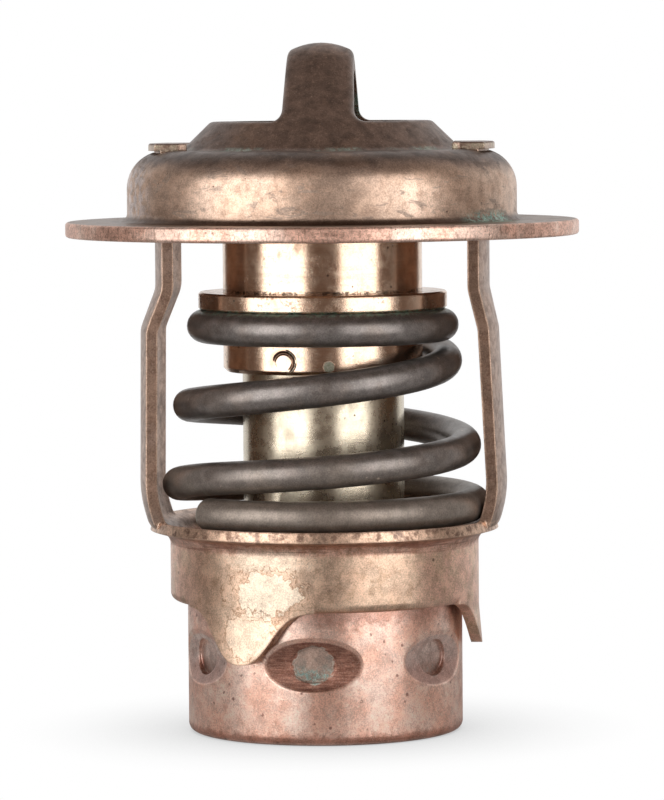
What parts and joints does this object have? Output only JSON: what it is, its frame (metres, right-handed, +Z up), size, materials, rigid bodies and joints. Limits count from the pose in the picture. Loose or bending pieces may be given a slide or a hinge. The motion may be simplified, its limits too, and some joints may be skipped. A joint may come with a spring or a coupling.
{
  "type": "engine thermostat",
  "caption": "Wax-pellet coolant valve: flanged dome with a stirrup, slotted lower frame with guide lugs, conical spring, brass element and crimped bypass cup.",
  "frame": {"origin": "centre of the bypass cup's flat underside, which the part stands on", "axes": "+Z up the valve's axis towards the stirrup; the frame's arms stand on +X and -X, the stirrup's legs on -Y (front) and +Y"},
  "size_m": [0.054, 0.054, 0.0724],
  "materials": {
    "patina_copper": "drawn sheet, brown patina with warm worn highlights",
    "frame_bronze": "pressed sheet, bronze with bright worn edges",
    "spring_steel": "dark satin wire",
    "turned_brass": "turned, glossy with dull streaks",
    "yellow_brass": "drawn, satin yellow-grey",
    "cup_copper": "drawn, pink copper with scratches",
    "plain_steel": "ground",
    "black_rubber": "dull",
    "white_pad": "matte",
    "wax": "waxy, loaded with copper powder"
  },
  "bodies": {
    "housing": {"upper_housing": "patina_copper", "lower_frame": "frame_bronze", "main_spring": "spring_steel", "piston": "plain_steel"},
    "element": {"element_body": "turned_brass", "main_valve_plate": "turned_brass", "valve_ring": "plain_steel", "piston_seal": "black_rubber", "diaphragm": "black_rubber", "rubber_plug": "black_rubber", "pressure_pad": "white_pad", "wax_charge": "wax", "wax_cup": "yellow_brass", "bypass_hub": "yellow_brass", "hub_ring": "plain_steel", "bypass_cup": "cup_copper"}
  },
  "joints": [
    {"name": "valve_travel", "type": "slide", "parent": "housing", "child": "element", "axis": [0, 0, -1], "range_m": [0, 0.008], "stiffness_N_per_m": 3000, "springref_m": -0.008, "deforming": ["main_spring"]}
  ]
}
